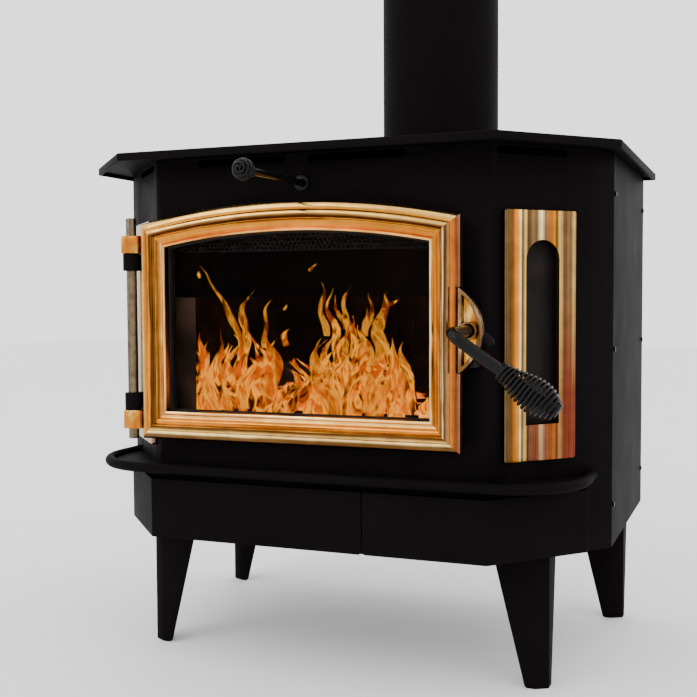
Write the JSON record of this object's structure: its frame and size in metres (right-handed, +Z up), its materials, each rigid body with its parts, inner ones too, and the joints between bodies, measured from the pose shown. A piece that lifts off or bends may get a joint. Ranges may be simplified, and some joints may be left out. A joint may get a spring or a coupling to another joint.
{
  "type": "wood burning stove",
  "caption": "Freestanding wood stove: chamfered black steel cabinet, arched brass-framed glass door, side grilles, ash shelf, legs, flue pipe and slide damper.",
  "frame": {"origin": "on the floor, under the middle of the whole part's box", "axes": "+X to the right as seen from the front, +Y to the back, +Z up; the door faces -Y"},
  "size_m": [0.869, 0.775, 1.105],
  "materials": {
    "black_paint": "matte stove paint",
    "plate_steel": "bare plate darkened by heat",
    "brass": "polished, lacquered",
    "black_rod": "satin black steel",
    "nickel": "dull plated",
    "cast_iron": "matte",
    "firebrick": "rough fired clay",
    "ceramic_glass": "clear ceramic glass, lightly smoked",
    "rope": "braided glass-fibre rope",
    "baffle_board": "fibre board",
    "fire": "flames",
    "ember": "glowing coals and ash",
    "charred_wood": "burning split logs"
  },
  "bodies": {
    "stove": {"top_plate": "black_paint", "front_jacket": "black_paint", "side_panel_right": "black_paint", "side_panel_left": "black_paint", "back_panel": "black_paint", "bottom_plate": "black_paint", "side_grille_right": "brass", "side_grille_left": "brass", "base_skirt_left": "black_paint", "base_skirt_right": "black_paint", "shelf_rim_tube": "black_paint", "ash_shelf": "black_paint", "leg_front_left": "black_paint", "leg_front_right": "black_paint", "leg_rear_left": "black_paint", "leg_rear_right": "black_paint", "firebox_face": "plate_steel", "firebox_wall_right": "plate_steel", "firebox_wall_left": "plate_steel", "firebox_back": "plate_steel", "firebox_floor": "plate_steel", "firebox_top": "plate_steel", "firebox_pedestal": "plate_steel", "brick_chamfer_right": "firebrick", "brick_chamfer_left": "firebrick", "brick_side_right": "firebrick", "brick_side_left": "firebrick", "brick_hearth_right": "firebrick", "brick_hearth_left": "firebrick", "brick_back_left": "firebrick", "brick_back_right": "firebrick", "air_tube_1": "plate_steel", "air_tube_2": "plate_steel", "baffle_board": "baffle_board", "airwash_screen": "plate_steel", "log_bar": "cast_iron", "flue_collar": "black_paint", "stove_pipe": "black_paint", "hinge_rod": "nickel", "hinge_bracket_upper": "black_paint", "hinge_bracket_lower": "black_paint", "latch_keeper": "plate_steel", "damper_bushing": "plate_steel"},
    "door": {"door_frame": "brass", "door_casting": "cast_iron", "glass_seal": "rope", "door_glass": "ceramic_glass", "glass_retainer": "plate_steel", "door_rope": "rope", "hinge_knuckle_upper": "brass", "hinge_knuckle_lower": "brass", "latch_boss": "brass", "latch_bushing": "brass"},
    "handle": {"handle_rod": "black_rod", "coil_grip": "black_rod", "latch_cam": "cast_iron", "cam_nut": "plate_steel"},
    "damper": {"damper_rod": "black_rod", "damper_knob": "black_rod", "damper_plate": "plate_steel"}
  },
  "joints": [
    {"name": "door_hinge", "type": "hinge", "parent": "stove", "child": "door", "pos_m": [-0.29, -0.2145, 0.532], "axis": [0, 0, -1], "range_deg": [0, 115]},
    {"name": "handle_turn", "type": "hinge", "parent": "door", "child": "handle", "pos_m": [0.251, -0.2445, 0.534], "axis": [0, -1, 0], "range_deg": [-55, 25]},
    {"name": "damper_slide", "type": "slide", "parent": "stove", "child": "damper", "axis": [0, -1, 0], "range_m": [-0.1, 0]}
  ]
}
